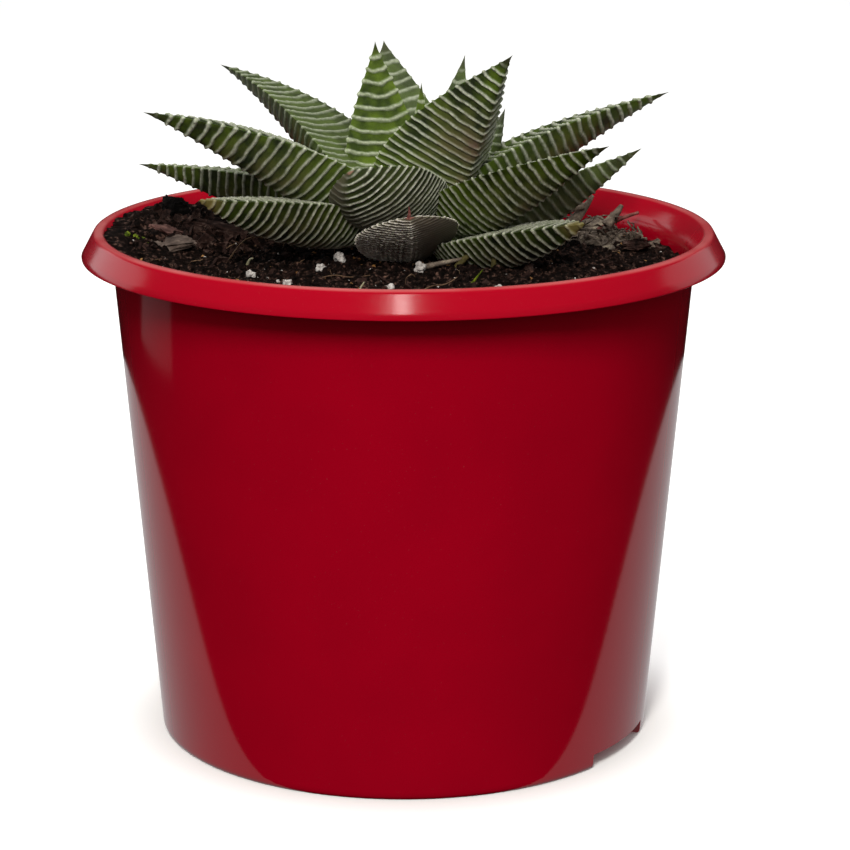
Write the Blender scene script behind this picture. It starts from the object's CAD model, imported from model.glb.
"""Looks of a fairy washboard rosette (Haworthiopsis limifolia) in a red nursery pot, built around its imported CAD.

All places are in metres in the CAD's frame: the origin is under the middle of the pot's foot, +Z is up and -Y is the
front. Turns are in degrees, seen from above: 0 is to the right (+X), 90 is to the back and 270 to the front.
"""

import math
import random

import bmesh
import bpy
from mathutils import Matrix, Vector, noise


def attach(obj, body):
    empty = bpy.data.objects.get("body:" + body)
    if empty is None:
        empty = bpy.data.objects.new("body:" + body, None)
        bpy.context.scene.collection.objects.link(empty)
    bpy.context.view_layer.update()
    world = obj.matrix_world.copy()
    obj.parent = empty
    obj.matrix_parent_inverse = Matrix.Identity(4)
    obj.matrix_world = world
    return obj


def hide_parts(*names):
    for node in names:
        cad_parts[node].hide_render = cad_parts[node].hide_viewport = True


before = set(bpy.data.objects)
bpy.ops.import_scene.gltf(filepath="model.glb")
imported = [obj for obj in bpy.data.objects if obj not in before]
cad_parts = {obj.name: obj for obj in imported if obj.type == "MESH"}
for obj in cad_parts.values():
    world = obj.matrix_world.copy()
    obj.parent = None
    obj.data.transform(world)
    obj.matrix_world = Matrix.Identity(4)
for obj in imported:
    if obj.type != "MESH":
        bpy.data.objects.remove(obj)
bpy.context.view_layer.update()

MM = 0.001

# Short names for the node kinds that are used all over.
MATH = "ShaderNodeMath"
VECTOR = "ShaderNodeVectorMath"
COMBINE = "ShaderNodeCombineXYZ"
SPLIT = "ShaderNodeSeparateXYZ"
NOISE = "ShaderNodeTexNoise"
RANGE = "ShaderNodeMapRange"
MIX = "ShaderNodeMix"
STORE = "GeometryNodeStoreNamedAttribute"
READ = "GeometryNodeInputNamedAttribute"
MOVE = "GeometryNodeSetPosition"
RANDOM = "FunctionNodeRandomValue"

# The pot: a 140 mm squat nursery pot, injection moulded.
RIM_RADIUS = 70 * MM
RIM_TOP_RADIUS = 67 * MM
POT_HEIGHT = 112 * MM
RIM_DEPTH = 5.6 * MM
BODY_TOP_RADIUS = 63.4 * MM
FOOT_RADIUS = 54.4 * MM
WALL = 1.2 * MM
FOOT_INSIDE = 51.9 * MM
FLOOR_RAISE = 3.5 * MM
FLOOR_TOP = 4.8 * MM
DRAIN_RADIUS = 4 * MM
DRAIN_CIRCLE = 36 * MM
DRAIN_TURNS = (30, 90, 150, 210, 270, 330)
NOTCH_LENGTH = 25 * MM
NOTCH_TURNS = (332, 152)
POT_STEPS = 288

# The potting mix.
SOIL_TOP = 106.2 * MM
SOIL_ROUGHNESS = 0.5 * MM
SOIL_SINK = 2.3 * MM
SOIL_HEAP = 3.0 * MM
SOIL_BANK = 2.2 * MM
FLARE = 0.56
FLARE_START = 106 * MM
SOIL_RINGS = 110
SOIL_STEPS = 330

CROWN = Vector((1 * MM, 2 * MM, 107 * MM))
STEM_PROFILE_MM = ((0, 92), (4, 93), (7, 99), (8.6, 105), (8, 110), (5.5, 114.5), (2.8, 117.5), (0, 118.5))

# The law that every leaf follows. A leaf is widest some way up, and tapers from there to a point.
SWELL = 1.0
CLASP = 0.7
HOLLOW = -0.04
KEEL_FALL = 0.9
CROWDING = 0.75

# The leaves, youngest first. Columns: name, turn, rise at the base, rise half way, rise at the tip (degrees),
# length, width, depth (mm), roll (degrees), distance out from the crown's axis, height over the crown and way to the
# left of the turn (mm),
# then the washboard: skin, pitch of the ridges and their height (mm), lean over the back, bare side,
# then the blade's outline: the share of its length where it is widest, its taper, and its keel's place across and
# roundness (1 is a sharp edge, 2 a round one).
LEAVES = (
    ("leaf_heart", 200, 82, 84, 86, 13, 7, 3.5, 0, 2, 9, 0, "young", 1.8, 0.25, 0.3, 0, 0.25, 1.3, 0, 1.9),
    ("leaf_spike", 58, 76, 83, 91, 28.5, 8, 4, -3, 2, 7.5, 0, "young", 2.1, 0.15, 0.3, 0, 0.25, 1.3, 0, 1.9),
    ("leaf_upright", 119, 66, 76, 85, 41, 22, 7, 1, 5, 4, 0, "young", 2.25, 0.42, 0.4, 0, 0.25, 1.3, 0, 1.9),
    ("leaf_keeled", 313, 65, 48, 41, 48, 24.5, 9, -25, 1, 9, 0, "grown", 1.75, 0.42, 0.0, 0, 0.25, 1.3, 0.4, 1.25),
    ("leaf_front_plump", 236, 24, 23, 30, 28, 23, 6.4, 27, 4, 10, 5.2, "plump", 1.3, 0.3, 0.1, -0.35, 0.42, 0.75, -0.35, 3.4),
    ("leaf_back_tall", 101, 61, 54, 48, 40.5, 24, 6.5, -8, 5, 9, 0, "hazy", 2.1, 0.22, 0.3, 0, 0.25, 1.3, 0, 1.9),
    ("leaf_back_slim", 48, 62, 67, 73, 38, 17.5, 6, -5, 4, 5.5, 0, "hazy", 2.2, 0.15, 0.3, 0, 0.25, 1.3, 0, 1.9),
    ("leaf_back_inner", 88, 48, 38, 32, 38, 20, 8, 0, 6, 6, 0, "grown", 2.0, 0.3, 0.3, 0, 0.25, 1.3, 0, 1.9),
    ("leaf_right_inner", 22, 46, 53, 64, 30.5, 16, 7, -4, 5, 5, 0, "hazy", 1.8, 0.2, 0.3, 0, 0.25, 1.3, 0, 1.9),
    ("leaf_left_high", 143, 51, 27, 8, 56.5, 24, 10, 7, 4.5, 10, 0, "hazy", 2.05, 0.35, 0.3, 0, 0.25, 1.3, 0, 1.9),
    ("leaf_right_high", 12, 38, 20, 11, 59, 22, 10, -8, 4.5, 11, 0, "grown", 2.2, 0.42, 0.2, 0, 0.25, 1.3, 0, 1.9),
    ("leaf_left_middle", 197, 39, 19, 9, 58.5, 24, 12, 2, 4.5, 12, 0, "grown", 2.25, 0.42, 0.22, 0, 0.25, 1.3, 0, 1.9),
    ("leaf_right_front", 328, 29, 20, 15, 44.5, 21, 11, -5, 8, 11, 0, "shaded", 1.9, 0.4, 0.2, 0, 0.25, 1.3, 0, 1.9),
    ("leaf_back_left", 120, 30, 22, 16, 44, 21, 10, 0, 6, 7, 0, "grown", 2.0, 0.35, 0.3, 0, 0.25, 1.3, 0, 1.9),
    ("leaf_back_right", 64, 28, 18, 14, 42, 20, 9, 0, 5, 7, 0, "grown", 2.0, 0.35, 0.3, 0, 0.25, 1.3, 0, 1.9),
    ("leaf_left_back", 161, 14, 4, -1, 58.5, 20, 11, 7, 6, 10, 0, "grown", 2.0, 0.38, 0.3, 0, 0.25, 1.3, 0, 1.9),
    ("leaf_right_middle", 350, 19, 20, 24, 48, 20, 11, -8, 6, 6.6, 0, "hazy", 1.9, 0.32, 0.3, 0, 0.25, 1.3, 0, 1.9),
    ("leaf_left_low", 216, 17, 8, 6, 45, 18.5, 9.5, 4, 9.5, 9, 0, "old", 1.7, 0.38, 0.22, 0, 0.34, 1.05, 0, 2.3),
    ("leaf_right_back", 38, 18, 12, 10, 36, 19, 9, 0, 6, 5, 0, "grown", 1.9, 0.35, 0.3, 0, 0.25, 1.3, 0, 1.9),
    ("leaf_back_low", 94, 14, 9, 6, 39, 18, 9, 0, 8, 4.5, 0, "old", 1.8, 0.35, 0.3, 0, 0.25, 1.3, 0, 1.9),
    ("leaf_back_left_low", 141, 14, 8, 5, 38, 19, 9, 0, 8, 4, 0, "old", 1.8, 0.35, 0.3, 0, 0.25, 1.3, 0, 1.9),
    ("leaf_right_low", 320, 19, 13, 8, 38, 17.5, 8, 2, 11, 2.4, 0, "old", 1.85, 0.4, 0.15, 0, 0.34, 1.0, 0, 1.9),
    ("leaf_front_short", 272.5, 38, 30, 22, 24, 21.8, 4.0, 7, 8.5, 0.2, -1.0, "dusky", 0.95, 0.36, 0.3, 0.5, 0.4, 0.8, 0, 1.7),
)

# The length of each kind of leaf's smooth tip, in mm.
SMOOTH_TIPS = {"young": 4.5, "grown": 5.5, "hazy": 5.5, "shaded": 5.5, "old": 1.6, "plump": 0.9, "dusky": 0.9}

# Pine bark chips. Columns: name, middle (mm), length, width and thickness (mm), turn, tilt and lean (degrees), finish.
BARK_CHIPS = (
    ("bark_chip_flat", (-51, -5, 109.0), (10.5, 6.5, 1.9), 10, 8, -8, "grey_bark"),
    ("bark_chip_red", (-52, 5, 109.4), (8.5, 7, 2.6), 70, 16, 10, "red_bark"),
    ("bark_chip_black", (-51.5, 26, 111.0), (5.5, 5, 4.8), 35, 10, 20, "char"),
    ("bark_chip_long", (-42, 15, 108.6), (14, 4.6, 2.8), 340, 4, 8, "bark"),
    ("bark_chip_back", (42, 31, 105.2), (11, 7, 2.6), 30, 10, -8, "husk"),
    ("bark_chip_right", (51.5, 13, 105.4), (7.5, 5.5, 2.4), 80, -8, 12, "bark"),
)

# Perlite grains: middle (mm) and width (mm). The first eight are CAD nodes, and the rest lie between them.
PERLITE = (
    ((-13.6, -11, 107.2), 2.7),
    ((-17.5, -20, 106.9), 2.2),
    ((3.5, -21, 107.0), 2.5),
    ((-3.0, -40, 106.5), 2.4),
    ((-24.0, -35, 106.6), 2.1),
    ((-32.0, -28, 106.9), 2.2),
    ((19.5, -40, 106.5), 2.0),
    ((36.0, -33, 106.4), 1.9),
)


def linear(hex_colour):
    """Linear red, green, blue and alpha of an sRGB hex colour."""
    shares = [int(hex_colour[i : i + 2], 16) / 255 for i in (0, 2, 4)]
    return [s / 12.92 if s <= 0.04045 else ((s + 0.055) / 1.055) ** 2.4 for s in shares] + [1.0]


def add(tree, kind, inputs=(), **settings):
    """Adds a node, sets its settings, and fills its open inputs in order. A value, a socket or a whole node may be given."""
    made = tree.nodes.new(kind)
    for name, value in settings.items():
        setattr(made, name, value)
    if isinstance(inputs, dict):
        pairs = [(made.inputs[name], value) for name, value in inputs.items()]
    else:
        pairs = list(zip([socket for socket in made.inputs if socket.enabled], inputs))
    for socket, value in pairs:
        if isinstance(value, bpy.types.Node):
            value = next(output for output in value.outputs if output.enabled)
        if isinstance(value, bpy.types.NodeSocket):
            tree.links.new(value, socket)
        elif value is not None:
            socket.default_value = value
    return made


def geometry_tree(name, inputs):
    """An empty geometry tree with named inputs, and its input and output nodes."""
    tree = bpy.data.node_groups.new(name, "GeometryNodeTree")
    for label, kind in inputs:
        tree.interface.new_socket(label, in_out="INPUT", socket_type="NodeSocket" + kind)
    tree.interface.new_socket("Mesh", in_out="OUTPUT", socket_type="NodeSocketGeometry")
    return tree, tree.nodes.new("NodeGroupInput").outputs


def close_tree(tree, mesh, finish):
    """Ends a tree: instances made real, and the material set."""
    real = add(tree, "GeometryNodeRealizeInstances", (mesh,))
    painted = add(tree, "GeometryNodeSetMaterial", (real, None, finish))
    add(tree, "NodeGroupOutput", (painted,))


def grown_mesh(name, tree, values, base=None):
    """Runs a geometry tree on a mesh with its inputs set, and returns the result as a plain mesh."""
    helper = bpy.data.objects.new(name + "_helper", base or bpy.data.meshes.new(name + "_seed"))
    bpy.context.scene.collection.objects.link(helper)
    modifier = helper.modifiers.new(tree.name, "NODES")
    modifier.node_group = tree
    for item in tree.interface.items_tree:
        if item.item_type == "SOCKET" and item.in_out == "INPUT" and item.name in values:
            modifier[item.identifier] = values[item.name]
    graph = bpy.context.evaluated_depsgraph_get()
    mesh = bpy.data.meshes.new_from_object(helper.evaluated_get(graph))
    mesh.name = name
    bpy.data.objects.remove(helper)
    return mesh


def show(name, mesh, slot, *nodes):
    """Shows a finished mesh as a piece that rides on the pot, in place of its CAD nodes."""
    piece = bpy.data.objects.new(name, mesh)
    bpy.context.scene.collection.objects.link(piece)
    if nodes:
        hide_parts(*nodes)
    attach(piece, "root")
    return piece


def mesh_from(bm, name, finish, smooth=True):
    bmesh.ops.recalc_face_normals(bm, faces=bm.faces)
    mesh = bpy.data.meshes.new(name)
    bm.to_mesh(mesh)
    bm.free()
    mesh.materials.append(finish)
    if smooth:
        mesh.shade_smooth()
    return mesh


def direction(turn, rise=0.0):
    turn = math.radians(turn)
    rise = math.radians(rise)
    return Vector((math.cos(rise) * math.cos(turn), math.cos(rise) * math.sin(turn), math.sin(rise)))


def smooth_step(low, high, value):
    t = min(max((value - low) / (high - low), 0.0), 1.0)
    return t * t * (3 - 2 * t)


# ---------------------------------------------------------------- materials


def new_material(name, **fixed):
    """A material with its principled shader's fixed numbers set. Returns the material, its tree and the shader."""
    made = bpy.data.materials.new(name)
    made.use_nodes = True
    shader = made.node_tree.nodes["Principled BSDF"]
    for label, value in fixed.items():
        shader.inputs[label.replace("_", " ")].default_value = value
    return made, made.node_tree, shader


def leaf_skin(name, valley, valley_light, ridge, ridge_dull, blush, tip, tip_length, wax):
    """Succulent leaf skin, grown: waxy epidermis with pale, hard washboard ridges over dark green valleys."""
    made, tree, shader = new_material(
        name, IOR=1.43, Subsurface_Weight=0.06, Subsurface_Scale=0.0012, Specular_IOR_Level=0.42
    )
    shader.inputs["Subsurface Radius"].default_value = (0.6, 1.0, 0.3)
    place = add(tree, "ShaderNodeTexCoord").outputs["Object"]
    ridged = add(tree, "ShaderNodeAttribute", attribute_name="ridge").outputs["Fac"]
    along = add(tree, "ShaderNodeAttribute", attribute_name="along").outputs["Fac"]
    keel = add(tree, "ShaderNodeAttribute", attribute_name="keel").outputs["Fac"]
    # Blotches of 5 mm, flecks of 0.7 mm and a cell grain of 0.2 mm.
    blotch = add(tree, NOISE, (place, 200.0, 3.0, 0.55))
    fleck = add(tree, NOISE, (place, 1400.0, 2.0, 0.6))
    grain = add(tree, NOISE, (place, 5000.0, 1.0, 0.5))
    patchy = add(tree, RANGE, (blotch, 0.36, 0.66, 0.0, 1.0))
    toward_base = add(tree, RANGE, (along, 0.0, 0.5, 0.75, 0.0))
    light = add(tree, MATH, (patchy, toward_base), operation="ADD", use_clamp=True)
    green = add(tree, MIX, (light, linear(valley), linear(valley_light)), data_type="RGBA")
    worn = add(tree, RANGE, (fleck, 0.35, 0.7, 0.0, 1.0))
    crest = add(tree, MIX, (worn, linear(ridge), linear(ridge_dull)), data_type="RGBA")
    skin = add(tree, MIX, (ridged, green, crest), data_type="RGBA")
    band = add(tree, RANGE, (along, 0.15, 0.42, 0.0, 1.0), interpolation_type="SMOOTHSTEP")
    beyond = add(tree, RANGE, (along, 0.55, 0.8, 1.0, 0.0), interpolation_type="SMOOTHSTEP")
    middle = add(tree, MATH, (band, beyond), operation="MULTIPLY")
    low = add(tree, MATH, (keel, middle), operation="MULTIPLY")
    flushed = add(tree, MATH, (low, patchy), operation="MULTIPLY")
    clothed = add(tree, "ShaderNodeAttribute", attribute_name="clothed").outputs["Fac"]
    naked = add(tree, RANGE, (clothed, 0.3, 1.0, 0.45, 0.0))
    dull = add(tree, MIX, (naked, skin, linear("665A4C")), data_type="RGBA")
    warm = add(tree, MIX, (flushed, dull, linear(blush)), data_type="RGBA")
    from_tip = add(tree, "ShaderNodeAttribute", attribute_name="from_tip").outputs["Fac"]
    end = add(tree, RANGE, (from_tip, tip_length / 3, tip_length, 0.75, 0.0), interpolation_type="SMOOTHSTEP")
    ended = add(tree, MIX, (end, warm, linear(tip)), data_type="RGBA")
    bloom = add(tree, RANGE, (grain, 0.3, 0.8, 0.0, wax))
    hazed = add(tree, MIX, (bloom, ended, linear("A9B0A0")), data_type="RGBA")
    rough = add(tree, RANGE, (ridged, 0.0, 1.0, 0.40, 0.56))
    uneven = add(tree, MATH, (fleck, grain), operation="ADD")
    bump = add(tree, "ShaderNodeBump", {"Strength": 0.35, "Distance": 0.00006, "Height": uneven})
    tree.links.new(hazed.outputs[2], shader.inputs["Base Color"])
    tree.links.new(rough.outputs[0], shader.inputs["Roughness"])
    tree.links.new(bump.outputs[0], shader.inputs["Normal"])
    return made


def moulded_polypropylene():
    """Polypropylene, injection moulded: deep even red, a glossy skin with faint flow marks, a scuffed rim and dust."""
    made, tree, shader = new_material("red_polypropylene_moulded", IOR=1.49, Specular_IOR_Level=0.4)
    place = add(tree, "ShaderNodeTexCoord").outputs["Object"]
    parts = add(tree, SPLIT, (place,))
    turn = add(tree, MATH, (parts.outputs[1], parts.outputs[0]), operation="ARCTAN2")
    arc = add(tree, MATH, (turn, RIM_RADIUS), operation="MULTIPLY")
    unrolled = add(tree, COMBINE, (arc, 0.0, parts.outputs[2]))
    # Rub marks run round the rim: 0.25 mm high and 6 mm long.
    stretched = add(tree, VECTOR, (unrolled, (160.0, 1.0, 4000.0)), operation="MULTIPLY")
    rubbed = add(tree, NOISE, (stretched, 1.0, 2.0, 0.6))
    on_rim = add(tree, RANGE, (parts.outputs[2], 105.0 * MM, 106.5 * MM, 0.0, 1.0))
    rub_depth = add(tree, MATH, (rubbed, on_rim), operation="MULTIPLY")
    # Flow marks in the wall are 18 mm across, and its skin has an orange peel of 1.5 mm.
    flow = add(tree, NOISE, (place, 55.0, 2.0, 0.5))
    peel = add(tree, NOISE, (place, 650.0, 1.0, 0.5))
    dust = add(tree, NOISE, (place, 2600.0, 2.0, 0.7))
    dusty = add(tree, RANGE, (dust, 0.68, 0.78, 0.0, 0.22))
    depth = add(tree, RANGE, (flow, 0.3, 0.7, 0.0, 1.0))
    red = add(tree, MIX, (depth, linear("9D001A"), linear("A3001B")), data_type="RGBA")
    rim_red = add(tree, MIX, (on_rim, red, linear("A2001A")), data_type="RGBA")
    specked = add(tree, MIX, (dusty, rim_red, linear("C06A68")), data_type="RGBA")
    # The rim's top edge is scuffed pale.
    edge = add(tree, RANGE, (parts.outputs[2], 111.6 * MM, 112.0 * MM, 0.0, 1.0))
    patch = add(tree, RANGE, (flow, 0.35, 0.6, 0.18, 0.42))
    scuffed = add(tree, MATH, (edge, patch), operation="MULTIPLY")
    worn = add(tree, MIX, (scuffed, specked, linear("D28A86")), data_type="RGBA")
    # Short pale scratches, 0.4 mm across and 1.5 mm high, are far apart.
    scored = add(tree, VECTOR, (unrolled, (420.0, 1.0, 130.0)), operation="MULTIPLY")
    score = add(tree, NOISE, (scored, 1.0, 1.0, 0.4))
    scratched = add(tree, RANGE, (score, 0.83, 0.87, 0.0, 0.5))
    scarred = add(tree, MIX, (scratched, worn, linear("D98C8C")), data_type="RGBA")
    gloss = add(tree, RANGE, (on_rim, 0.0, 1.0, 0.10, 0.15))
    matt = add(tree, RANGE, (rubbed, 0.4, 0.75, 0.0, 0.06))
    rough = add(tree, MATH, (matt, on_rim, gloss), operation="MULTIPLY_ADD")
    rub_depth = add(tree, MATH, (rub_depth, 0.3), operation="MULTIPLY")
    relief = add(tree, MATH, (peel, 0.25, rub_depth), operation="MULTIPLY_ADD")
    bump = add(tree, "ShaderNodeBump", {"Strength": 0.22, "Distance": 0.00005, "Height": relief})
    tree.links.new(scarred.outputs[2], shader.inputs["Base Color"])
    tree.links.new(rough.outputs[0], shader.inputs["Roughness"])
    tree.links.new(bump.outputs[0], shader.inputs["Normal"])
    return made


def litter_material(name, dark, middle, pale, size, roughness, grain_size):
    """Broken plant or mineral matter, unfinished: three tones that change from bit to bit, and a fine rough grain."""
    made, tree, shader = new_material(name, IOR=1.45, Specular_IOR_Level=0.3)
    place = add(tree, "ShaderNodeTexCoord").outputs["Object"]
    tone = add(tree, NOISE, (place, 1 / size, 3.0, 0.6))
    grain = add(tree, NOISE, (place, 1 / grain_size, 3.0, 0.65))
    lower = add(tree, RANGE, (tone, 0.32, 0.52, 0.0, 1.0))
    upper = add(tree, RANGE, (tone, 0.56, 0.74, 0.0, 1.0))
    first = add(tree, MIX, (lower, linear(dark), linear(middle)), data_type="RGBA")
    second = add(tree, MIX, (upper, first, linear(pale)), data_type="RGBA")
    shade = add(tree, RANGE, (grain, 0.3, 0.7, 0.55, 1.15))
    colour = add(tree, VECTOR, {"Vector": second.outputs[2], "Scale": shade}, operation="SCALE")
    rough = add(tree, RANGE, (grain, 0.3, 0.7, roughness - 0.15, roughness))
    bump = add(tree, "ShaderNodeBump", {"Strength": 0.7, "Distance": grain_size * 0.4, "Height": grain})
    tree.links.new(colour.outputs[0], shader.inputs["Base Color"])
    tree.links.new(rough.outputs[0], shader.inputs["Roughness"])
    tree.links.new(bump.outputs[0], shader.inputs["Normal"])
    return made


# ---------------------------------------------------------------- leaves

LEAF_INPUTS = (
    ("Start", "Vector"),
    ("Turn", "Float"),
    ("Rise at Base", "Float"),
    ("Rise Half Way", "Float"),
    ("Rise at Tip", "Float"),
    ("Length", "Float"),
    ("Width", "Float"),
    ("Depth", "Float"),
    ("Roll", "Float"),
    ("Widest", "Float"),
    ("Taper", "Float"),
    ("Keel Shift", "Float"),
    ("Keel Roundness", "Float"),
    ("Rows", "Int"),
    ("Columns", "Int"),
    ("Ridge Pitch", "Float"),
    ("Ridge Height", "Float"),
    ("Face Lean", "Float"),
    ("Back Lean", "Float"),
    ("Bare Side", "Float"),
    ("Smooth Tip", "Float"),
    ("Wobble", "Float"),
    ("Seed", "Float"),
    ("Skin", "Material"),
)


def leaf_spine_nodes(tree, given, along, step):
    """The rise at each point, and the way forward and up from the leaf's base, summed along the rows."""
    base, middle, tip = given["Rise at Base"], given["Rise Half Way"], given["Rise at Tip"]
    four = add(tree, MATH, (middle, 4.0), operation="MULTIPLY")
    three = add(tree, MATH, (base, 3.0, tip), operation="MULTIPLY_ADD")
    slope = add(tree, MATH, (four, three), operation="SUBTRACT")
    ends = add(tree, MATH, (base, tip), operation="ADD")
    curve = add(tree, MATH, (ends, 2.0), operation="MULTIPLY")
    curve = add(tree, MATH, (curve, four), operation="SUBTRACT")
    before = add(tree, MATH, (step, -0.5, along), operation="MULTIPLY_ADD")
    rises = []
    for spot in (along, before):
        bend = add(tree, MATH, (curve, spot, slope), operation="MULTIPLY_ADD")
        rises.append(add(tree, MATH, (bend, spot, base), operation="MULTIPLY_ADD"))
    forward = add(tree, MATH, (rises[1],), operation="COSINE")
    upward = add(tree, MATH, (rises[1],), operation="SINE")
    started = add(tree, MATH, (before, 0.0), operation="GREATER_THAN")
    stride = add(tree, MATH, (given["Length"], step), operation="MULTIPLY")
    stride = add(tree, MATH, (stride, started), operation="MULTIPLY")
    way = add(tree, COMBINE, (forward, 0.0, upward))
    piece = add(tree, VECTOR, {"Vector": way, "Scale": stride}, operation="SCALE")
    return rises[0], piece, started


def leaf_breadth_nodes(tree, given, along, started):
    """The leaf's width at each point, as a share of its greatest width."""
    outer = add(tree, RANGE, (along, given["Widest"], 1.0, 0.0, 1.0))
    narrowing = add(tree, MATH, (1.0, outer), operation="SUBTRACT")
    narrowing = add(tree, MATH, (narrowing, given["Taper"]), operation="POWER")
    swollen = add(tree, MATH, (outer, SWELL, 1.0), operation="MULTIPLY_ADD")
    tapered = add(tree, MATH, (narrowing, swollen), operation="MULTIPLY")
    inner = add(tree, RANGE, (along, 0.0, given["Widest"], 1.0, 0.0))
    squared = add(tree, MATH, (inner, 2.0), operation="POWER")
    clasp = add(tree, MATH, (squared, CLASP - 1.0, 1.0), operation="MULTIPLY_ADD")
    breadth = add(tree, MATH, (tapered, clasp), operation="MULTIPLY")
    return add(tree, MATH, (breadth, started), operation="MULTIPLY")


def leaf_section_nodes(tree, given, along, breadth, across, on_face):
    """Half the width here, and the height of the section's outline: a slightly hollow face and a keeled back."""
    half = add(tree, MATH, (given["Width"], 0.5), operation="MULTIPLY")
    half = add(tree, MATH, (half, breadth), operation="MULTIPLY")
    square = add(tree, MATH, (across, across), operation="MULTIPLY")
    dip = add(tree, MATH, (1.0, square), operation="SUBTRACT")
    flattening = add(tree, MATH, (along, -1.6 * HOLLOW, HOLLOW), operation="MULTIPLY_ADD")
    dip = add(tree, MATH, (dip, flattening), operation="MULTIPLY")
    face_height = add(tree, MATH, (dip, half), operation="MULTIPLY")
    # The share of the way from the keel out to the nearer margin, where the keel may be off the middle.
    aside = add(tree, MATH, (across, given["Keel Shift"]), operation="SUBTRACT")
    right = add(tree, MATH, (1.0, given["Keel Shift"]), operation="SUBTRACT")
    left = add(tree, MATH, (-1.0, given["Keel Shift"]), operation="SUBTRACT")
    to_right = add(tree, MATH, (aside, right), operation="DIVIDE")
    to_left = add(tree, MATH, (aside, left), operation="DIVIDE")
    outward = add(tree, MATH, (to_right, to_left), operation="MAXIMUM")
    sharpness = add(tree, MATH, (given["Keel Roundness"], 1.1), operation="SUBTRACT")
    sharpness = add(tree, MATH, (sharpness, -0.69), operation="MULTIPLY")
    sharpness = add(tree, MATH, (along, sharpness, given["Keel Roundness"]), operation="MULTIPLY_ADD")
    curve = add(tree, MATH, (outward, sharpness), operation="POWER")
    curve = add(tree, MATH, (curve, 1.0), operation="SUBTRACT")
    deep = add(tree, MATH, (breadth, KEEL_FALL), operation="POWER")
    deep = add(tree, MATH, (deep, given["Depth"]), operation="MULTIPLY")
    back_height = add(tree, MATH, (curve, deep), operation="MULTIPLY")
    height = add(tree, "GeometryNodeSwitch", (on_face, back_height, face_height), input_type="FLOAT")
    return half, outward, height


def ridge_phase_nodes(tree, given, along, half, across, outward, on_face):
    """Counts ridges: up the leaf, and later towards the margins and again towards the keel, so that they run aslant."""
    crowded = add(tree, MATH, (along, CROWDING), operation="POWER")
    distance = add(tree, MATH, (crowded, given["Length"]), operation="MULTIPLY")
    square = add(tree, MATH, (across, across), operation="MULTIPLY")
    face_lag = add(tree, MATH, (square, given["Face Lean"]), operation="MULTIPLY")
    inward = add(tree, MATH, (1.0, outward), operation="SUBTRACT")
    back_lag = add(tree, MATH, (inward, given["Back Lean"], given["Face Lean"]), operation="MULTIPLY_ADD")
    lag = add(tree, "GeometryNodeSwitch", (on_face, back_lag, face_lag), input_type="FLOAT")
    lag = add(tree, MATH, (lag, half), operation="MULTIPLY")
    place = add(tree, MATH, (distance, lag), operation="SUBTRACT")
    return add(tree, MATH, (place, given["Ridge Pitch"]), operation="DIVIDE")


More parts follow.
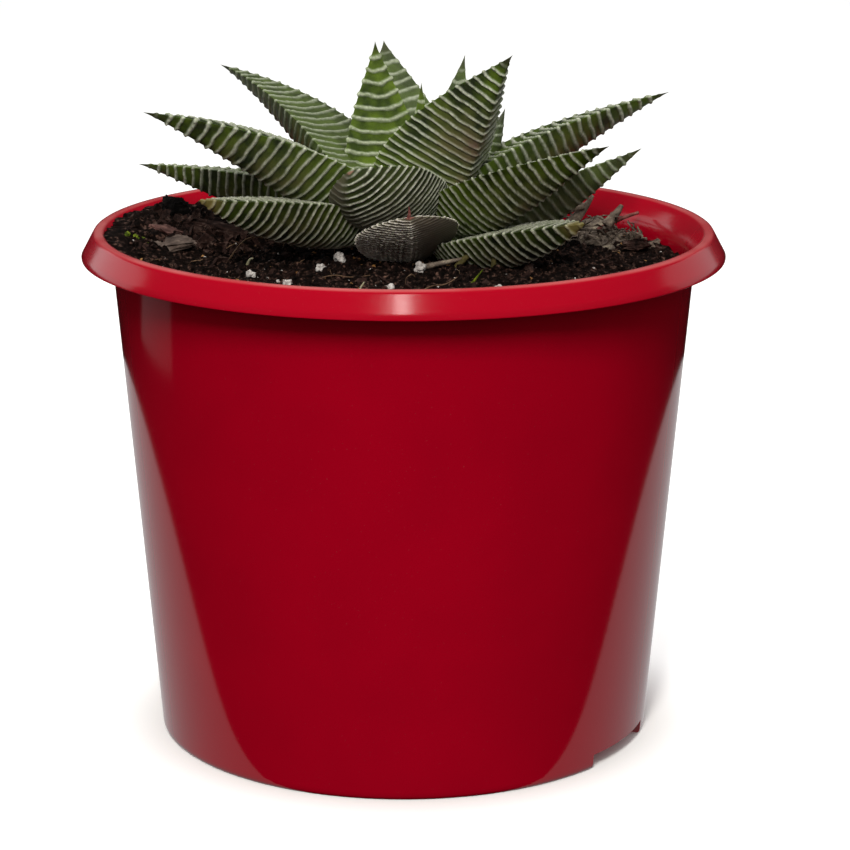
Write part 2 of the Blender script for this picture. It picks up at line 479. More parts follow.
def washboard_leaf():
    """One succulent leaf: a tapering keeled blade bent along its length, with raised ridges across it."""
    tree, given = geometry_tree("washboard_leaf", LEAF_INPUTS)
    grid = add(tree, "GeometryNodeMeshGrid", (1.0, 1.0, given["Rows"], given["Columns"]))
    spot = add(tree, SPLIT, (add(tree, "GeometryNodeInputPosition"),))
    along = add(tree, MATH, (spot.outputs[0], 0.5), operation="ADD")
    around = add(tree, MATH, (spot.outputs[1], 0.5), operation="ADD")
    gaps = add(tree, MATH, (given["Rows"], 1.0), operation="SUBTRACT")
    step = add(tree, MATH, (1.0, gaps), operation="DIVIDE")
    rise, stride, started = leaf_spine_nodes(tree, given, along, step)
    column = add(tree, MATH, (around, 100000.0), operation="MULTIPLY")
    run = add(tree, "GeometryNodeAccumulateField", (stride, column), data_type="FLOAT_VECTOR")
    run = add(tree, SPLIT, (run.outputs["Leading"],))

    # The section runs from the left margin over the face to the right one, and back under the keel.
    angle = add(tree, MATH, (around, math.tau), operation="MULTIPLY")
    across = add(tree, MATH, (angle,), operation="COSINE")
    across = add(tree, MATH, (across, -1.0), operation="MULTIPLY")
    on_face = add(tree, MATH, (around, 0.5), operation="LESS_THAN")
    breadth = leaf_breadth_nodes(tree, given, along, started)
    half, outward, height = leaf_section_nodes(tree, given, along, breadth, across, on_face)
    phase = ridge_phase_nodes(tree, given, along, half, across, outward, on_face)

    # The frame that the section stands in.
    turn_cos = add(tree, MATH, (given["Turn"],), operation="COSINE")
    turn_sin = add(tree, MATH, (given["Turn"],), operation="SINE")
    turn_back = add(tree, MATH, (turn_sin, -1.0), operation="MULTIPLY")
    heading = add(tree, COMBINE, (turn_cos, turn_sin, 0.0))
    level = add(tree, COMBINE, (turn_back, turn_cos, 0.0))
    rise_cos = add(tree, MATH, (rise,), operation="COSINE")
    rise_sin = add(tree, MATH, (rise,), operation="SINE")
    flat = add(tree, VECTOR, {"Vector": heading, "Scale": rise_cos}, operation="SCALE")
    steep = add(tree, COMBINE, (0.0, 0.0, rise_sin))
    way = add(tree, VECTOR, (flat, steep), operation="ADD")
    upright = add(tree, VECTOR, (way, level), operation="CROSS_PRODUCT")
    turned = []
    for axis in (level, upright):
        rolled = {"Vector": axis, "Axis": way, "Angle": given["Roll"]}
        turned.append(add(tree, "ShaderNodeVectorRotate", rolled, rotation_type="AXIS_ANGLE"))
    sideways = add(tree, MATH, (half, across), operation="MULTIPLY")
    out = add(tree, VECTOR, {"Vector": turned[0], "Scale": sideways}, operation="SCALE")
    up = add(tree, VECTOR, {"Vector": turned[1], "Scale": height}, operation="SCALE")
    ahead = add(tree, VECTOR, {"Vector": heading, "Scale": run.outputs[0]}, operation="SCALE")
    lift = add(tree, COMBINE, (0.0, 0.0, run.outputs[2]))
    place = add(tree, VECTOR, (given["Start"], ahead), operation="ADD")
    for part in (lift, out, up):
        place = add(tree, VECTOR, (place, part), operation="ADD")

    back = add(tree, MATH, (1.0, on_face), operation="SUBTRACT")
    inward = add(tree, MATH, (1.0, outward), operation="SUBTRACT")
    keel = add(tree, MATH, (back, inward), operation="MULTIPLY")
    side = add(tree, MATH, (across, given["Keel Shift"]), operation="SUBTRACT")
    side = add(tree, MATH, (back, side), operation="MULTIPLY")
    mesh = grid
    left = add(tree, MATH, (1.0, along), operation="SUBTRACT")
    left = add(tree, MATH, (left, given["Length"]), operation="MULTIPLY")
    known = (("along", along), ("from_tip", left), ("keel", keel), ("side", side), ("phase", phase))
    for name, value in known:
        mesh = add(tree, STORE, (mesh.outputs[0], None, name, value), data_type="FLOAT", domain="POINT")
    mesh = add(tree, MOVE, (mesh, None, place))
    mesh = add(tree, "GeometryNodeMergeByDistance", (mesh, None, 0.0000005))
    mesh = washboard_nodes(tree, given, mesh)
    mesh = add(tree, "GeometryNodeSetShadeSmooth", (mesh, None, True))
    close_tree(tree, mesh, given["Skin"])
    return tree


def washboard_nodes(tree, given, mesh):
    """Raises the ridges from the skin, a little uneven, beaded, and fading out at the tip and on a bare side."""
    phase, side = [add(tree, READ, (name,), data_type="FLOAT") for name in ("phase", "side")]
    spot = add(tree, "GeometryNodeInputPosition")
    shift = add(tree, COMBINE, (given["Seed"], 0.0, 0.0))
    spot = add(tree, VECTOR, (spot, shift), operation="ADD")
    sway = add(tree, NOISE, (spot, 260.0, 2.0, 0.5))
    sway = add(tree, MATH, (sway, 0.5), operation="SUBTRACT")
    swayed = add(tree, MATH, (sway, given["Wobble"], phase), operation="MULTIPLY_ADD")
    angle = add(tree, MATH, (swayed, math.tau), operation="MULTIPLY")
    wave = add(tree, MATH, (angle,), operation="COSINE")
    crest = add(tree, RANGE, (wave, 0.22, 1.0, 0.0, 1.0), interpolation_type="SMOOTHSTEP")
    from_tip = add(tree, READ, ("from_tip",), data_type="FLOAT")
    share = add(tree, MATH, (from_tip, given["Smooth Tip"]), operation="DIVIDE")
    to_tip = add(tree, RANGE, (share, 0.2, 1.0, 0.0, 1.0), interpolation_type="SMOOTHSTEP")
    bare = add(tree, MATH, (side, given["Bare Side"]), operation="MULTIPLY")
    bare = add(tree, RANGE, (bare, 0.0, 0.2, 1.0, 0.3), interpolation_type="SMOOTHSTEP")
    crest = add(tree, MATH, (crest, to_tip), operation="MULTIPLY")
    crest = add(tree, MATH, (crest, bare), operation="MULTIPLY")
    bead = add(tree, NOISE, (spot, 1100.0, 1.0, 0.5))
    bead = add(tree, RANGE, (bead, 0.3, 0.7, 0.55, 1.2))
    relief = add(tree, MATH, (crest, given["Ridge Height"]), operation="MULTIPLY")
    relief = add(tree, MATH, (relief, bead), operation="MULTIPLY")
    outward = add(tree, "GeometryNodeInputNormal")
    offset = add(tree, VECTOR, {"Vector": outward, "Scale": relief}, operation="SCALE")
    shade = add(tree, RANGE, (bead, 0.55, 1.2, 0.75, 1.15))
    shade = add(tree, MATH, (crest, shade), operation="MULTIPLY", use_clamp=True)
    mesh = add(tree, STORE, (mesh, None, "ridge", shade), data_type="FLOAT", domain="POINT")
    mesh = add(tree, STORE, (mesh, None, "clothed", bare), data_type="FLOAT", domain="POINT")
    return add(tree, MOVE, (mesh, None, None, offset))


def make_leaves(skins):
    tree = washboard_leaf()
    for number, row in enumerate(LEAVES):
        name, turn, base, middle, tip, length, width, depth, roll, reach, height, aside = row[:12]
        skin, pitch, relief, lean, bare, widest, taper, keel_shift, roundness = row[12:]
        start = CROWN + (direction(turn) * reach + direction(turn + 90) * aside) * MM
        values = {
            "Start": start + Vector((0, 0, height * MM)),
            "Turn": math.radians(turn),
            "Rise at Base": math.radians(base),
            "Rise Half Way": math.radians(middle),
            "Rise at Tip": math.radians(tip),
            "Length": length * MM,
            "Width": width * MM,
            "Depth": depth * MM,
            "Roll": math.radians(roll),
            "Widest": widest,
            "Taper": taper,
            "Keel Shift": float(keel_shift),
            "Keel Roundness": roundness,
            "Rows": min(320, round(10 * length / pitch)),
            "Columns": 64 if width > 12 else 40,
            "Ridge Pitch": pitch * MM,
            "Ridge Height": relief * MM,
            "Face Lean": 0.16,
            "Back Lean": lean,
            "Bare Side": float(bare),
            "Smooth Tip": SMOOTH_TIPS[skin] * MM,
            "Wobble": 0.65,
            "Seed": 0.37 * number,
            "Skin": skins[skin],
        }
        mesh = grown_mesh(name + "_skin", tree, values)
        show(name + "_skin", mesh, "leaf", name)


# ---------------------------------------------------------------- pot


def wall_radius(height):
    """The outer radius of the tapered body at a height."""
    foot = 1.6 * MM
    share = (height - foot) / (POT_HEIGHT - RIM_DEPTH - foot)
    return FOOT_RADIUS + share * (BODY_TOP_RADIUS - FOOT_RADIUS)


def pot_profile():
    """One closed outline in mm, rounded where the mould is: up the body, over the rim, down inside and under the floor."""
    body = [(wall_radius(z * MM) / MM, z) for z in (4, 12, 25, 40, 55, 70, 85, 97, 105)]
    inside = [(wall_radius(z * MM) / MM - 1.2, z) for z in (104, 92, 75, 58, 40, 22, 9)]
    return (
        [(51.9, 0.15), (52.05, 0), (53.6, 0), (53.95, 0.12), (54.2, 0.45), (54.35, 0.95), (54.42, 1.8)]
        + body
        + [(63.45, 107.2), (63.6, 108.4), (64.1, 109.5), (65, 110.1), (66.1, 110.3)]
        + [(67.2, 109.4), (68.95, 106.55), (69.1, 106.4), (69.75, 106.4), (69.95, 106.5), (69.98, 106.75)]
        + [(69.2, 108.2), (68.3, 109.9), (67.55, 111.3), (67.3, 111.7), (66.95, 111.93), (66.5, 112)]
        + [(65.7, 112), (65.3, 111.9), (65.0, 111.6), (64.2, 110.4), (63.2, 108.8), (62.45, 107.4)]
        + inside
        + [(53.55, 6.2), (53.3, 5.4), (52.7, 4.95), (51.9, 4.8), (5.2, 4.8), (5.0, 4.6), (5.0, 3.7), (5.2, 3.5)]
        + [(51.4, 3.5), (51.75, 3.35), (51.9, 3.0)]
    )


def make_pot(finish):
    """The pot, turned round its axis, then drilled and notched at the foot."""
    bm = bmesh.new()
    corners = [bm.verts.new((0, -radius * MM, height * MM)) for radius, height in pot_profile()]
    edges = [bm.edges.new(pair) for pair in zip(corners, corners[1:] + corners[:1])]
    spun = {"cent": (0, 0, 0), "axis": (0, 0, 1), "angle": math.tau, "steps": POT_STEPS}
    bmesh.ops.spin(bm, geom=corners + edges, **spun)
    bmesh.ops.remove_doubles(bm, verts=bm.verts, dist=0.002 * MM)
    mesh = mesh_from(bm, "pot_wall", finish)
    helper = bpy.data.objects.new("pot_wall_helper", mesh)
    bpy.context.scene.collection.objects.link(helper)
    cutters = []
    for turn in DRAIN_TURNS:
        cutters.append(drain_cutter(turn))
    for turn in NOTCH_TURNS:
        cutters.append(notch_cutter(turn))
    for cutter in cutters:
        cutter.hide_render = True
        boolean = helper.modifiers.new(cutter.name, "BOOLEAN")
        boolean.operation = "DIFFERENCE"
        boolean.solver = "EXACT"
        boolean.object = cutter
    graph = bpy.context.evaluated_depsgraph_get()
    mesh = bpy.data.meshes.new_from_object(helper.evaluated_get(graph))
    mesh.name = "pot_wall"
    for obj in [helper, *cutters]:
        bpy.data.objects.remove(obj)
    mesh.set_sharp_from_angle(angle=math.radians(50))
    show("pot_wall", mesh, "pot", "pot")


def cutter_object(name, bm):
    mesh = bpy.data.meshes.new(name)
    bm.to_mesh(mesh)
    bm.free()
    obj = bpy.data.objects.new(name, mesh)
    bpy.context.scene.collection.objects.link(obj)
    return obj


def drain_cutter(turn):
    bm = bmesh.new()
    place = Matrix.Translation(direction(turn) * DRAIN_CIRCLE + Vector((0, 0, FLOOR_RAISE)))
    size = {"segments": 40, "radius1": DRAIN_RADIUS, "radius2": DRAIN_RADIUS, "depth": 8 * MM}
    bmesh.ops.create_cone(bm, cap_ends=True, matrix=place, **size)
    return cutter_object(f"drain_{turn}_cutter", bm)


def notch_cutter(turn):
    """A bar across the foot ring that opens it to the side, as high as the raised floor."""
    bm = bmesh.new()
    size = Matrix.Diagonal((10 * MM, NOTCH_LENGTH, 6.4 * MM, 1))
    place = Matrix.Rotation(math.radians(turn), 4, "Z") @ Matrix.Translation((FOOT_RADIUS, 0, 0))
    bmesh.ops.create_cube(bm, size=1, matrix=place @ size)
    return cutter_object(f"notch_{turn}_cutter", bm)


# ---------------------------------------------------------------- potting mix and what lies on it


def soil_height(x, y):
    """The top of the mix: lumpy and crumbly, heaped up at the left and sunken at the back right."""
    lump = noise.noise(Vector((x, y, 0)) / (14 * MM))
    clod = noise.noise(Vector((x, y, 3)) / (4.5 * MM))
    crumb = noise.noise(Vector((x, y, 7)) / (1.3 * MM))
    sunken = smooth_step(20 * MM, 55 * MM, 0.8 * x + 0.6 * y)
    heaped = smooth_step(34 * MM, 56 * MM, 0.3 * y - x)
    banked = smooth_step(52 * MM, 60 * MM, 0.15 * y - x)
    fine = 0.8 * MM * clod + 0.75 * MM * crumb
    return SOIL_TOP + SOIL_ROUGHNESS * lump - SOIL_SINK * sunken + SOIL_HEAP * heaped + SOIL_BANK * banked + fine


def make_soil(finish):
    """A plug of mix that fills the pot down to its floor, with a crumbly top."""
    bm = bmesh.new()
    turns = [step * 360 / SOIL_STEPS for step in range(SOIL_STEPS)]
    edge = wall_radius(SOIL_TOP - 3 * MM) - WALL - 0.1 * MM
    rings = []
    for radius, height in ((wall_radius(5 * MM) - 3 * MM, 5.1 * MM), (wall_radius(7 * MM) - 1.5 * MM, 7 * MM)):
        rings.append([direction(turn) * radius + Vector((0, 0, height)) for turn in turns])
    shoulder = 100 * MM
    rings.append([direction(turn) * (wall_radius(shoulder) - WALL - 0.1 * MM) + Vector((0, 0, shoulder)) for turn in turns])
    for step in range(SOIL_RINGS):
        ring = [direction(turn) * edge * (1 - step / SOIL_RINGS) for turn in turns]
        rings.append([Vector((p.x, p.y, soil_height(p.x, p.y))) for p in ring])
    # Where the mix is banked above the wall, its edge follows the flare inside the rim.
    for place in rings[3]:
        spread = 1 + FLARE * max(0, place.z - FLARE_START) / edge
        place.x *= spread
        place.y *= spread
    loops = [[bm.verts.new(place) for place in ring] for ring in rings]
    for lower, upper in zip(loops, loops[1:]):
        for i in range(SOIL_STEPS):
            j = (i + 1) % SOIL_STEPS
            bm.faces.new((lower[i], lower[j], upper[j], upper[i]))
    bm.faces.new(loops[0])
    bm.faces.new(loops[-1])
    mesh = mesh_from(bm, "crumbly_mix", finish)
    show("crumbly_mix", mesh, "potting_mix", "potting_mix")
    return mesh


SCATTER_INPUTS = (
    ("Mesh", "Geometry"),
    ("Density", "Float"),
    ("Smallest", "Float"),
    ("Largest", "Float"),
    ("Flatness", "Float"),
    ("Tilt", "Float"),
    ("Sink", "Float"),
    ("Middle", "Vector"),
    ("Reach", "Float"),
    ("Seed", "Int"),
    ("Finish", "Material"),
)


def scatter_tree(name, bit_nodes):
    """Strews bits over the top of the mix, each turned and sized at random and pulled out of true."""
    tree, given = geometry_tree(name, SCATTER_INPUTS)
    facing = add(tree, SPLIT, (add(tree, "GeometryNodeInputNormal"),))
    spot = add(tree, "GeometryNodeInputPosition")
    level = add(tree, VECTOR, (spot, (1.0, 1.0, 0.0)), operation="MULTIPLY")
    from_axis = add(tree, VECTOR, (level,), operation="LENGTH").outputs["Value"]
    from_middle = add(tree, VECTOR, (level, given["Middle"]), operation="DISTANCE").outputs["Value"]
    chosen = add(tree, MATH, (facing.outputs[2], 0.3), operation="GREATER_THAN")
    for distance, limit in ((from_axis, 0.0597), (from_middle, given["Reach"])):
        inside = add(tree, MATH, (distance, limit), operation="LESS_THAN")
        chosen = add(tree, MATH, (chosen, inside), operation="MULTIPLY")
    strewn = (given["Mesh"], chosen, given["Density"], given["Seed"])
    points = add(tree, "GeometryNodeDistributePointsOnFaces", strewn, distribute_method="RANDOM")
    low = add(tree, COMBINE, (given["Smallest"], given["Smallest"], given["Smallest"]))
    high = add(tree, COMBINE, (given["Largest"], given["Largest"], given["Largest"]))
    size = add(tree, RANDOM, (low, high, None, given["Seed"]), data_type="FLOAT_VECTOR")
    flatter = add(tree, COMBINE, (1.0, 1.0, given["Flatness"]))
    size = add(tree, VECTOR, (size, flatter), operation="MULTIPLY")
    back = add(tree, MATH, (given["Tilt"], -1.0), operation="MULTIPLY")
    first = add(tree, COMBINE, (back, back, 0.0))
    last = add(tree, COMBINE, (given["Tilt"], given["Tilt"], math.tau))
    spin = add(tree, RANDOM, (first, last, None, 5), data_type="FLOAT_VECTOR")
    turned = add(tree, "FunctionNodeEulerToRotation", (spin,))
    bit = bit_nodes(tree)
    placed = (points, None, bit, None, None, turned, size)
    copies = add(tree, "GeometryNodeInstanceOnPoints", placed)
    real = add(tree, "GeometryNodeRealizeInstances", (copies,))
    pull = add(tree, NOISE, (add(tree, "GeometryNodeInputPosition"), 900.0, 1.0, 0.5))
    pull = add(tree, VECTOR, (pull.outputs["Color"], (0.5, 0.5, 0.5)), operation="SUBTRACT")
    pull = add(tree, VECTOR, {"Vector": pull, "Scale": given["Smallest"]}, operation="SCALE")
    drop = add(tree, COMBINE, (0.0, 0.0, given["Sink"]))
    offset = add(tree, VECTOR, (pull, drop), operation="SUBTRACT")
    moved = add(tree, MOVE, (real, None, None, offset))
    close_tree(tree, moved, given["Finish"])
    return tree


def crumb_nodes(tree):
    return add(tree, "GeometryNodeMeshIcoSphere", (0.5, 1))


def clod_nodes(tree):
    return add(tree, "GeometryNodeMeshIcoSphere", (0.5, 2))


def flake_nodes(tree):
    return add(tree, "GeometryNodeMeshCube", ((1.0, 0.55, 0.4), 3, 2, 2))


def fibre_nodes(tree):
    """A thin root: a quarter of a ring, four sides round."""
    line = add(tree, "GeometryNodeCurveArc", {"Resolution": 7, "Radius": 0.7, "Sweep Angle": 1.6})
    around = add(tree, "GeometryNodeCurvePrimitiveCircle", {"Resolution": 4, "Radius": 0.022})
    return add(tree, "GeometryNodeCurveToMesh", {"Curve": line, "Profile Curve": around, "Fill Caps": True})


# What lies strewn on the mix. Columns: name, kind of bit, slot, finish, number to a square metre, smallest and
# largest (mm), flatness, middle of the patch across and back, and its reach (mm).
LITTER = (
    ("peat_clods", "clods", "potting_mix", "peat", 60000, 1.3, 3.4, 0.75, 0, 0, 60),
    ("left_bank", "clods", "potting_mix", "peat", 150000, 2.0, 4.6, 0.7, -57, 5, 11),
    ("peat_crumbs", "crumbs", "potting_mix", "peat", 300000, 0.7, 2.0, 0.8, 0, 0, 60),
    ("peat_fines", "crumbs", "potting_mix", "peat", 420000, 0.35, 0.9, 0.8, 0, 0, 60),
    ("bark_flakes", "flakes", "bark", "bark", 24000, 1.2, 3.6, 0.5, 0, 0, 60),
    ("bark_litter", "flakes", "bark", "bark", 110000, 2.0, 5.0, 0.4, -46, 12, 19),
    ("husk_litter", "flakes", "bark", "husk", 210000, 2.0, 5.0, 0.5, 46, 27, 15),
    ("husk_fluff", "crumbs", "bark", "husk", 260000, 0.9, 2.4, 0.8, 45, 29, 13),
    ("orange_grit", "crumbs", "bark", "tan", 40000, 0.8, 1.7, 0.8, 45, 22, 12),
    ("tan_crumbs", "crumbs", "bark", "tan", 14000, 0.5, 1.6, 0.8, 0, 0, 60),
    ("perlite_dust", "crumbs", "perlite", "perlite", 30000, 0.3, 1.0, 0.8, 0, 0, 60),
    ("perlite_patch", "crumbs", "perlite", "perlite", 260000, 0.4, 1.6, 0.8, -25, -37, 6),
    ("fine_roots", "fibres", "bark", "root", 7000, 2.0, 5.5, 0.5, 0, 0, 60),
    ("char_fuzz", "fibres", "bark", "char", 900000, 1.5, 3.4, 0.9, -51, 26, 5.5),
    ("husk_fibres", "fibres", "bark", "husk", 190000, 3.5, 8.5, 0.7, 46, 27, 13),
    ("moss_left", "crumbs", "leaf", "moss", 420000, 0.9, 2.0, 0.9, -58, -6, 2.8),
    ("moss_right", "crumbs", "leaf", "moss", 600000, 0.4, 1.1, 0.9, 37, -39, 2.4),
)


def strew_litter(ground, finishes):
    """Everything small that lies all over the mix."""
    kinds = (("crumbs", crumb_nodes), ("clods", clod_nodes), ("flakes", flake_nodes), ("fibres", fibre_nodes))
    trees = {kind: scatter_tree("strewn_" + kind, bit_nodes) for kind, bit_nodes in kinds}
    for seed, row in enumerate(LITTER):
        name, kind, slot, finish, density, smallest, largest, flatness, across, back, reach = row
        values = {
            "Density": float(density),
            "Smallest": smallest * MM,
            "Largest": largest * MM,
            "Flatness": flatness,
            "Tilt": 1.3,
            "Sink": 0.0002,
            "Middle": Vector((across, back, 0)) * MM,
            "Reach": reach * MM,
            "Seed": seed + 1,
            "Finish": finishes[finish],
        }
        show(name, grown_mesh(name, trees[kind], values, ground.copy()), slot)


# Single roots, stalks and curls. Columns: name, slot, finish, thickness at the start and the end (mm), and the points
# that it passes through (mm).
STRANDS = (
    ("arched_root", "bark", "root", 0.45, 0.2, ((-38, -12, 106.2), (-36, -8, 109), (-33, -3.5, 111), (-27, 2, 108.6))),
    ("front_root", "bark", "root", 0.4, 0.2, ((3, -43, 106), (5, -41, 107.6), (9, -39.4, 107.2), (11, -36, 108.2))),
    ("left_root", "bark", "root", 0.3, 0.15, ((-19, -31, 106.4), (-15, -29, 107.6), (-11, -30, 106.7), (-7, -28, 107))),
    ("white_curl", "bark", "straw", 0.7, 0.35, ((-33.5, -14, 106.2), (-33, -14.6, 107.8), (-32.2, -16, 108.2))),
    ("green_sprig", "leaf", "moss", 0.9, 0.15, ((13.5, -38, 106.4), (14.5, -38.5, 108), (16.4, -39, 110.6))),
    ("yellow_sprig", "leaf", "straw", 0.6, 0.25, ((-9.5, -44, 106), (-9, -44.4, 107.6), (-8, -44.6, 109))),
    ("stem_stub", "stem", "stem", 1.6, 1.1, ((11, -18, 106), (12.5, -17, 108.5), (16.5, -15, 110.5))),
    ("flower_stalk_stub", "stem", "stem", 1.3, 0.9, ((19, -19, 106), (19.2, -18.6, 110), (19.8, -18, 114))),
    ("dry_leaf_base", "bark", "husk", 1.4, 0.6, ((4, -20, 107), (9, -19, 108), (14, -16, 108.4))),
    ("red_twig", "bark", "twig", 1.1, 0.7, ((44, 27, 106), (49, 29, 108.4), (53.5, 29.5, 109.6))),
    ("husk_stalk", "bark", "husk", 3.6, 1.6, ((27, 26, 106.5), (34, 29, 110), (41, 29.5, 111.2))),
    ("husk_stub", "bark", "husk", 3.2, 0.8, ((38, 31, 106.5), (41.5, 31, 110.5), (43, 30, 113.4))),
    ("husk_curl", "bark", "husk", 2.8, 0.9, ((46, 27, 107), (48.5, 28, 109.8), (49.5, 28, 111.6))),
    ("dry_leaf_tip", "leaf", "twig", 1.3, 0.3, ((0.9, -26.2, 118.2), (1.4, -27.2, 119.5), (1.1, -27.7, 121.4))),
)


def make_strand(name, slot, finish, first, last, points):
    """A thin stalk through a few points, six sides round, with its ends closed."""
    line = bpy.data.curves.new(name + "_line", "CURVE")
    line.dimensions = "3D"
    line.bevel_depth = first / 2 * MM
    line.bevel_resolution = 1
    line.use_fill_caps = True
    line.resolution_u = 8
    spline = line.splines.new("NURBS")
    spline.points.add(len(points) - 1)
    spline.use_endpoint_u = True
    spline.order_u = 3
    for number, place in enumerate(points):
        spline.points[number].co = (*(Vector(place) * MM), 1)
        spline.points[number].radius = 1 + (last / first - 1) * number / (len(points) - 1)
    helper = bpy.data.objects.new(name + "_helper", line)
    bpy.context.scene.collection.objects.link(helper)
    mesh = bpy.data.meshes.new_from_object(helper.evaluated_get(bpy.context.evaluated_depsgraph_get()))
    bpy.data.objects.remove(helper)
    mesh.name = name
    mesh.materials.clear()
    mesh.materials.append(finish)
    mesh.shade_smooth()
    show(name, mesh, slot)


def make_bark_chip(name, middle, size, turn, tilt, lean, finish):
    """A broken plate of bark, split along its layers."""
    bm = bmesh.new()
    bmesh.ops.create_cube(bm, size=1)
    bmesh.ops.subdivide_edges(bm, edges=bm.edges, cuts=17, use_grid_fill=True)
    for vert in bm.verts:
        spot = vert.co.copy()
        pull = noise.noise_vector(spot * 1.9 + Vector(middle))
        chipped = noise.noise(spot * 7 + Vector(middle))
        layer = noise.noise(Vector((spot.x * 1.5, spot.y * 1.5, round(spot.z * 5) * 3.1)) + Vector(middle))
        edge = max(abs(spot.x), abs(spot.y)) * 2
        vert.co = spot * (1 - 0.5 * max(0, spot.length - 0.5)) + pull * 0.16
        vert.co.x *= 1 + 0.12 * layer * edge + 0.12 * chipped
        vert.co.y *= 1 + 0.16 * layer * edge + 0.12 * chipped
        vert.co.z *= 1 + 0.22 * chipped
    turned = Matrix.Rotation(math.radians(turn), 4, "Z") @ Matrix.Rotation(math.radians(tilt), 4, "X")
    turned = turned @ Matrix.Rotation(math.radians(lean), 4, "Y")
    scale = Matrix.Diagonal((*(Vector(size) * MM), 1))
    bm.transform(Matrix.Translation(Vector(middle) * MM) @ turned @ scale)
    mesh = mesh_from(bm, name + "_bark", finish)
    mesh.set_sharp_from_angle(angle=math.radians(45))
    show(name + "_bark", mesh, "bark", name)


def make_perlite(finish):
    """Puffed glass grains: knobbly white lumps with bubbles broken open."""
    for number, (middle, width) in enumerate(PERLITE):
        bm = bmesh.new()
        bmesh.ops.create_icosphere(bm, subdivisions=4, radius=width / 2 * MM)
        for vert in bm.verts:
            spot = vert.co / (width * MM) + Vector((number * 3.7, 0, 0))
            knob = noise.noise(spot * 2.6)
            bubble = noise.noise(spot * 6.5)
            vert.co *= 1 + 0.5 * knob - 0.35 * abs(bubble)
        bmesh.ops.translate(bm, verts=bm.verts, vec=Vector(middle) * MM)
        mesh = mesh_from(bm, f"perlite_lump_{number + 1}", finish)
        show(f"perlite_lump_{number + 1}", mesh, "perlite", f"perlite_grain_{number + 1}")


def make_stem(finish):
    """The short stem inside the rosette, ringed with old leaf scars."""
    bm = bmesh.new()
    places = []
    for (r0, z0), (r1, z1) in zip(STEM_PROFILE_MM, STEM_PROFILE_MM[1:]):
        for step in range(6):
            share = step / 6
            ring = 1 + 0.03 * math.cos((z0 + (z1 - z0) * share) * 4.0)
            places.append(((r0 + (r1 - r0) * share) * ring, z0 + (z1 - z0) * share))
    places.append(STEM_PROFILE_MM[-1])
    corners = [bm.verts.new((0, -radius * MM, height * MM)) for radius, height in places]
    edges = [bm.edges.new(pair) for pair in zip(corners, corners[1:])]
    bmesh.ops.spin(bm, geom=corners + edges, cent=(0, 0, 0), axis=(0, 0, 1), angle=math.tau, steps=48)
    bmesh.ops.remove_doubles(bm, verts=bm.verts, dist=0.002 * MM)
    bmesh.ops.translate(bm, verts=bm.verts, vec=(CROWN.x, CROWN.y, 0))
    show("scarred_stem", mesh_from(bm, "scarred_stem", finish), "stem", "stem")


# ---------------------------------------------------------------- camera, floor and light


def make_camera():
    camera = bpy.data.cameras.new("camera")
    camera.lens = 129.05
    camera.sensor_width = 36
    camera.shift_x = 0.0252
    camera.clip_start = 0.01
    obj = bpy.data.objects.new("camera", camera)
    obj.location = (0, -0.6535, 0.2369)
    obj.rotation_euler = (math.radians(75.453), 0, 0)
    bpy.context.scene.collection.objects.link(obj)
    bpy.context.scene.camera = obj


def make_floor():
    bm = bmesh.new()
    bmesh.ops.create_grid(bm, x_segments=1, y_segments=1, size=6)
    made, tree, shader = new_material("studio_floor_painted", Roughness=0.9)
    shader.inputs["Base Color"].default_value = linear("F6F6F4")
    shader.inputs["Emission Color"].default_value = linear("FFFFFF")
    # It glows faintly except under the pot, so that the pale sweep has no horizon and the foot still has its shade.
    place = add(tree, "ShaderNodeTexCoord").outputs["Object"]
    distance = add(tree, VECTOR, (place,), operation="LENGTH").outputs["Value"]
    glow = add(tree, RANGE, (distance, 0.050, 0.075, 0.0, 0.42), interpolation_type="SMOOTHSTEP")
    tree.links.new(glow.outputs[0], shader.inputs["Emission Strength"])
    mesh = bpy.data.meshes.new("studio_floor")
    bm.to_mesh(mesh)
    bm.free()
    mesh.materials.append(made)
    floor = bpy.data.objects.new("studio_floor", mesh)
    bpy.context.scene.collection.objects.link(floor)
    # The floor lights nothing back, so that the pot stays as deep in tone as on a dark bench.
    floor.visible_glossy = False
    floor.visible_diffuse = False
    floor.visible_shadow = False


def make_light(name, place, target, width, height, power, colour):
    light = bpy.data.lights.new(name, "AREA")
    light.shape = "RECTANGLE"
    light.size = width
    light.size_y = height
    light.energy = power
    light.color = linear(colour)[:3]
    obj = bpy.data.objects.new(name, light)
    obj.location = place
    obj.rotation_euler = (Vector(target) - Vector(place)).to_track_quat("-Z", "Y").to_euler()
    bpy.context.scene.collection.objects.link(obj)
    return obj


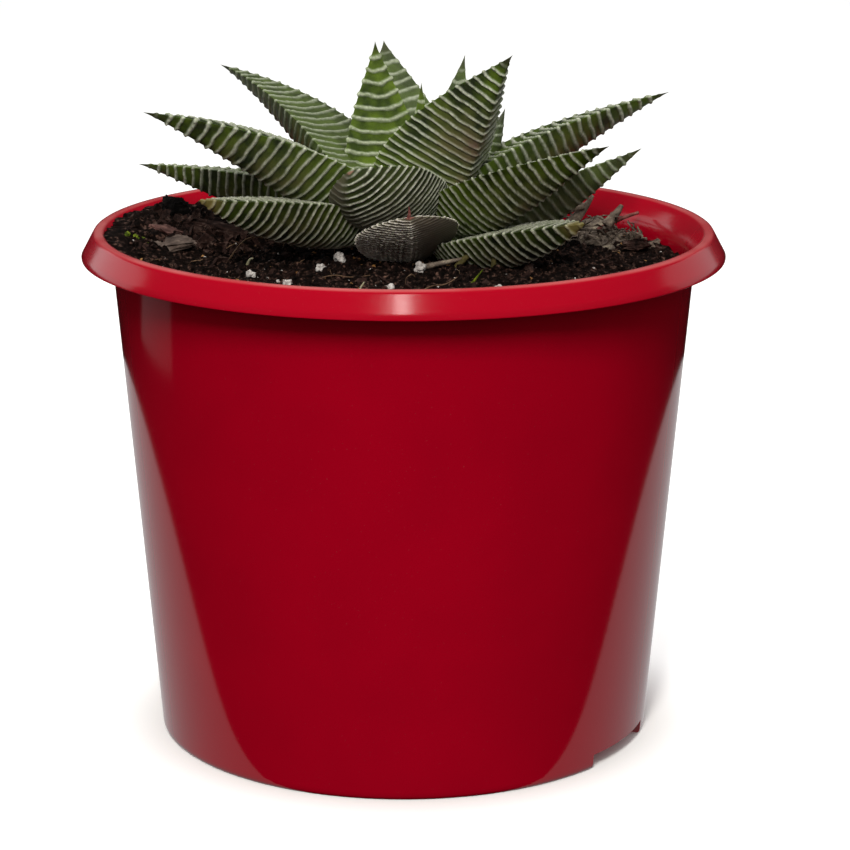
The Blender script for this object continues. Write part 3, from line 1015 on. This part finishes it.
def make_studio():
    make_floor()
    key = make_light("front_softbox", (-0.07, -0.72, 0.70), (0, 0, 0.1), 0.11, 0.34, 7.0, "FFFDF8")
    key.visible_glossy = False
    glint = make_light("rim_glint_strip", (-0.008, -0.72, 0.70), (0, 0, 0.1), 0.05, 0.30, 1.15, "FFFDF8")
    glint.visible_diffuse = False
    top = make_light("top_softbox", (0.0, 0.10, 1.0), (0, 0, 0.1), 0.9, 0.9, 3.2, "FFFFFF")
    top.visible_glossy = False
    # A lit patch of the sweep behind the pot, a small one at its left and a white card on each side. Only gloss shows
    # them: the patches on the pot's flanks, and the cards on the ends of its rim.
    pool = make_light("back_sweep", (0, 0.165, -0.001), (0, 0.165, 1), 0.43, 0.43, 0.27, "FFFFFF")
    pool.data.shape = "DISK"
    patch = make_light("left_sweep", (-0.34, 0.115, -0.001), (-0.34, 0.115, 1), 0.09, 0.14, 0.008, "FFFFFF")
    left = make_light("left_card", (-0.62, 0.42, 0.24), (0, 0, 0.12), 0.5, 0.3, 0.5, "FFFFFF")
    right = make_light("right_card", (0.62, 0.42, 0.24), (0, 0, 0.12), 0.5, 0.3, 0.3, "FFFFFF")
    for light in (pool, patch, left, right):
        light.visible_camera = False
        light.visible_diffuse = False
    world = bpy.data.worlds.new("studio_world")
    bpy.context.scene.world = world
    world.use_nodes = True
    tree = world.node_tree
    tree.nodes.clear()
    path = add(tree, "ShaderNodeLightPath")
    way = add(tree, SPLIT, (add(tree, "ShaderNodeTexCoord").outputs["Generated"],))
    sky = add(tree, RANGE, (way.outputs[2], -0.15, 0.15, 0.07, 0.60))
    dulled = add(tree, RANGE, (path.outputs["Is Glossy Ray"], 0.0, 1.0, 1.0, 0.06))
    strength = add(tree, MATH, (sky, dulled), operation="MULTIPLY")
    glow = add(tree, "ShaderNodeBackground", (linear("FFFFFF"), strength))
    add(tree, "ShaderNodeOutputWorld", (glow,))
    bpy.context.scene.view_settings.view_transform = "Standard"


make_camera()
skins = {
    "young": leaf_skin(
        "haworthia_skin_young", "2A3A0A", "5E7418", "B4BAA0", "8E9876", "5A5030", "33331A", 4 * MM, 0.07
    ),
    "grown": leaf_skin(
        "haworthia_skin_grown", "182306", "4A5E0E", "BCBFAC", "8C9178", "5F4A3C", "2E2A1C", 5 * MM, 0.06
    ),
    "hazy": leaf_skin(
        "haworthia_skin_hazy", "343F1C", "4E5E26", "9DA38C", "7E866C", "5A5042", "3A3A26", 5 * MM, 0.08
    ),
    "old": leaf_skin(
        "haworthia_skin_old", "090F02", "344209", "B2B3A0", "7A7B67", "50392F", "75683A", 6 * MM, 0.02
    ),
    "shaded": leaf_skin(
        "haworthia_skin_shaded", "060A02", "3A4A08", "A6A896", "74775F", "4A3A2C", "2E2A1C", 4 * MM, 0.0
    ),
    "plump": leaf_skin(
        "haworthia_skin_plump", "1B220A", "38441A", "C6C8B6", "8A8A78", "4A3F36", "94705E", 0.3 * MM, 0.03
    ),
    "dusky": leaf_skin(
        "haworthia_skin_dusky", "2E281E", "544B3C", "DAD4C6", "B4AC9C", "5A5246", "9A5A50", 0.5 * MM, 0.1
    ),
}
finishes = {
    "peat": litter_material("peat_and_bark_fines", "030201", "140A07", "6A4E42", 1.1 * MM, 0.95, 0.25 * MM),
    "bark": litter_material("pine_bark_broken", "120A08", "33221D", "5E4C44", 2.4 * MM, 0.9, 0.3 * MM),
    "grey_bark": litter_material("weathered_bark", "3C312C", "5C4E46", "786A5F", 2.6 * MM, 0.85, 0.35 * MM),
    "red_bark": litter_material("red_inner_bark", "341F1B", "5E403A", "7C5C53", 2.6 * MM, 0.9, 0.3 * MM),
    "char": litter_material("charred_bark", "040303", "0B0908", "1F1916", 1.6 * MM, 0.9, 0.3 * MM),
    "husk": litter_material("dry_husks", "3A312A", "73665A", "A2957F", 2.2 * MM, 0.9, 0.3 * MM),
    "tan": litter_material("rotted_wood_crumbs", "5A3A20", "8A6238", "B08A58", 1.5 * MM, 0.9, 0.25 * MM),
    "twig": litter_material("reddish_twig_bark", "4A2522", "7A4640", "A07468", 1.6 * MM, 0.8, 0.3 * MM),
    "straw": litter_material("bleached_straw", "8A8258", "B0AA88", "D2CEBC", 1.6 * MM, 0.8, 0.3 * MM),
    "moss": litter_material("moss_shoots", "26300A", "5E6E14", "A2A62C", 0.9 * MM, 0.9, 0.25 * MM),
    "perlite": litter_material("perlite_puffed", "7E7672", "B9B2AC", "DCD8D2", 0.9 * MM, 0.9, 0.25 * MM),
    "root": litter_material("dry_root", "3A2A1E", "6E5540", "94806A", 3.0 * MM, 0.8, 0.3 * MM),
    "stem": litter_material("haworthia_stem_bark", "2E2C16", "4E4626", "6B663A", 2.5 * MM, 0.7, 0.4 * MM),
}
make_pot(moulded_polypropylene())
ground = make_soil(finishes["peat"])
strew_litter(ground, finishes)
for *chip, finish in BARK_CHIPS:
    make_bark_chip(*chip, finishes[finish])
for name, slot, finish, first, last, points in STRANDS:
    make_strand(name, slot, finishes[finish], first, last, points)
make_perlite(finishes["perlite"])
make_stem(finishes["stem"])
make_leaves(skins)
make_studio()
